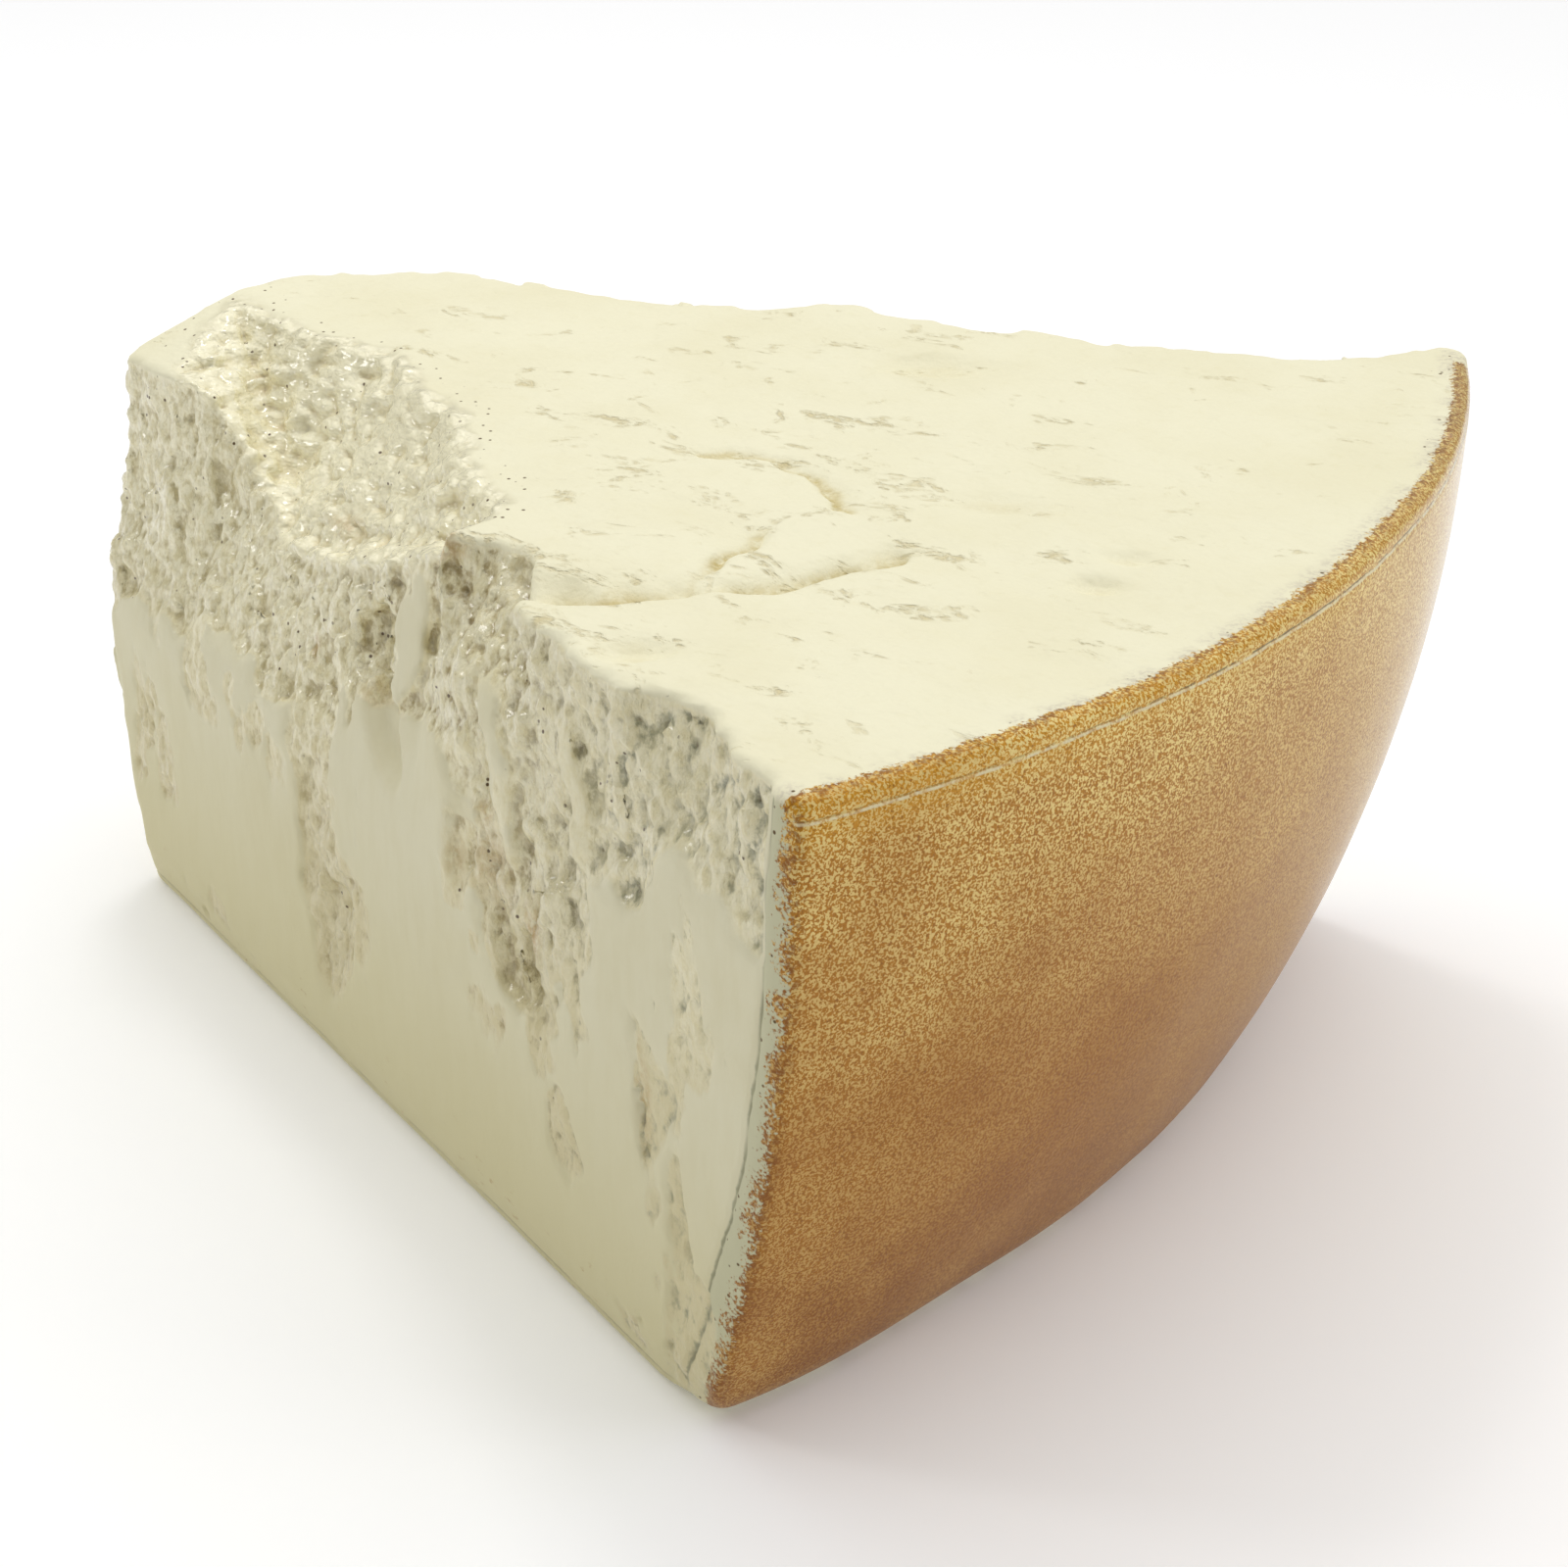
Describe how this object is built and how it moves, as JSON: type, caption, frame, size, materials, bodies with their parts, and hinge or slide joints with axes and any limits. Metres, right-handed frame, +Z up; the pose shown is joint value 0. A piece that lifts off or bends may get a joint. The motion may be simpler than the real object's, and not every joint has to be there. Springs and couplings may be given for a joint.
{
  "type": "display replica of a parmesan cheese chunk",
  "caption": "Cast display replica of a parmesan chunk: a wedge of half a wheel with a curved rind, level top, crumbly cut faces and a bite broken out near the tip.",
  "frame": {"origin": "centre of the bounding box at the base, on the surface the chunk rests on", "axes": "+X from the broken tip to the middle of the rind, +Y towards the back cut, +Z up"},
  "size_m": [0.2198, 0.1984, 0.1036],
  "materials": {
    "cheese_paste": "varnished cream paste, dull on the cut face and glossy in the crumbled hollows, with a speckled golden brown rind"
  },
  "bodies": {
    "root": {"parmesan_chunk": "cheese_paste"}
  },
  "joints": []
}
